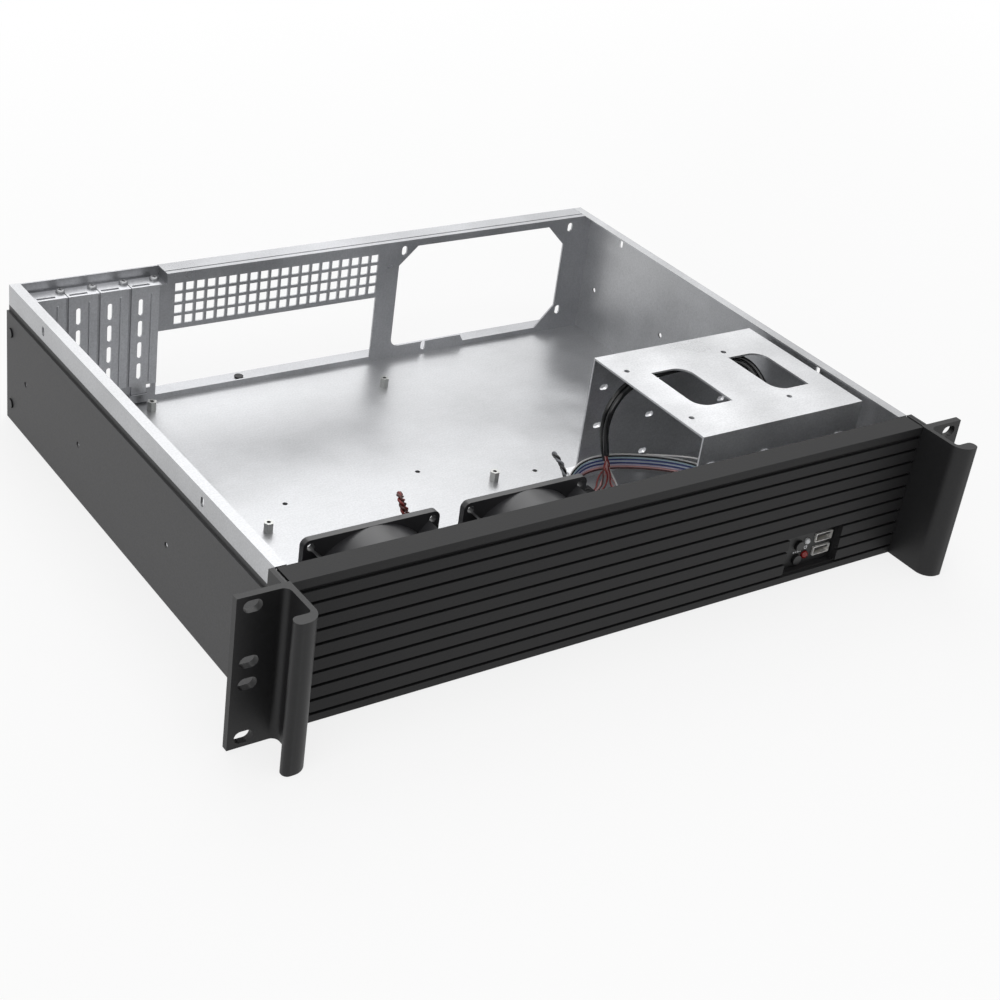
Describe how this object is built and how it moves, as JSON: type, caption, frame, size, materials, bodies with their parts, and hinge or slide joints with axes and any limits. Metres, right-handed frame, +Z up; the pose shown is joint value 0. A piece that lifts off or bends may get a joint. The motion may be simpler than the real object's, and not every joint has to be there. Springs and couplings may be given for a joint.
{
  "type": "empty rackmount server case",
  "caption": "Open-topped two-unit rackmount case with grooved front, bracket handles, drive cage, fans, slot covers and front sockets.",
  "frame": {"origin": "middle of the underside, level with the floor's lower face", "axes": "+X across the case to its right seen from the front, +Y from front to back, +Z up"},
  "size_m": [0.4826, 0.377, 0.0881],
  "materials": {
    "black_cord": "black sheath",
    "black_fascia": "fine textured black powder coat",
    "black_handle": "satin black coat",
    "black_plug": "black header plug",
    "button_plastic": "black plastic",
    "dark_screw": "black plated steel",
    "fan_cord": "thin insulated leads",
    "fan_plastic": "black moulded plastic",
    "green_board": "green board",
    "red_lamp": "red plastic",
    "ribbon": "flat run of thin coloured leads",
    "socket_plastic": "black moulded plastic",
    "socket_steel": "bright plated shell",
    "standoff_metal": "plated steel",
    "tongue_plastic": "black plastic",
    "white_lamp": "milky plastic",
    "winding": "copper winding",
    "zinc_cage": "zinc-plated folded sheet",
    "zinc_cover": "bright plated sheet",
    "zinc_panel": "zinc-plated folded sheet",
    "zinc_screw": "zinc-plated steel",
    "zinc_tray": "zinc-plated inside, dark grey paint outside below the lid step"
  },
  "bodies": {
    "case": {"board_standoffs": "standoff_metal", "button_switches": "socket_plastic", "cage_screws": "zinc_screw", "chassis_tray": "zinc_tray", "drive_cage": "zinc_cage", "drive_led": "red_lamp", "fan_1_frame": "fan_plastic", "fan_1_lead": "fan_cord", "fan_1_plug": "black_plug", "fan_1_stator": "winding", "fan_2_frame": "fan_plastic", "fan_2_lead": "fan_cord", "fan_2_plug": "black_plug", "fan_2_stator": "winding", "fan_screws": "zinc_screw", "fascia": "black_fascia", "fascia_screws": "zinc_screw", "front_bulkhead": "zinc_panel", "handle_left": "black_handle", "handle_right": "black_handle", "handle_screws": "dark_screw", "panel_ribbon": "ribbon", "panel_rivets": "zinc_screw", "power_led": "white_lamp", "rear_panel": "zinc_panel", "ribbon_plug": "black_plug", "slot_cover_1": "zinc_cover", "slot_cover_2": "zinc_cover", "slot_cover_3": "zinc_cover", "slot_cover_4": "zinc_cover", "slot_cover_screws": "dark_screw", "socket_board": "green_board", "socket_headers": "black_plug", "socket_housing": "socket_plastic", "socket_screws": "zinc_screw", "usb_cable_a": "black_cord", "usb_cable_b": "black_cord", "usb_lower_shell": "socket_steel", "usb_lower_tongue": "tongue_plastic", "usb_plug_a": "black_plug", "usb_plug_b": "black_plug", "usb_upper_shell": "socket_steel", "usb_upper_tongue": "tongue_plastic"},
    "fan_1_wheel": {"fan_1_impeller": "fan_plastic"},
    "fan_2_wheel": {"fan_2_impeller": "fan_plastic"},
    "power_cap": {"power_button": "button_plastic"},
    "reset_cap": {"reset_button": "button_plastic"}
  },
  "joints": [
    {"name": "fan_1_spin", "type": "hinge", "parent": "case", "child": "fan_1_wheel", "pos_m": [-0.144, -0.12835, 0.042], "axis": [0, 1, 0], "continuous": true},
    {"name": "fan_2_spin", "type": "hinge", "parent": "case", "child": "fan_2_wheel", "pos_m": [-0.049, -0.12835, 0.042], "axis": [0, 1, 0], "continuous": true},
    {"name": "power_push", "type": "slide", "parent": "case", "child": "power_cap", "axis": [0, 1, 0], "range_m": [0, 0.0008], "stiffness_N_per_m": 1200},
    {"name": "reset_push", "type": "slide", "parent": "case", "child": "reset_cap", "axis": [0, 1, 0], "range_m": [0, 0.0008], "stiffness_N_per_m": 1200}
  ]
}
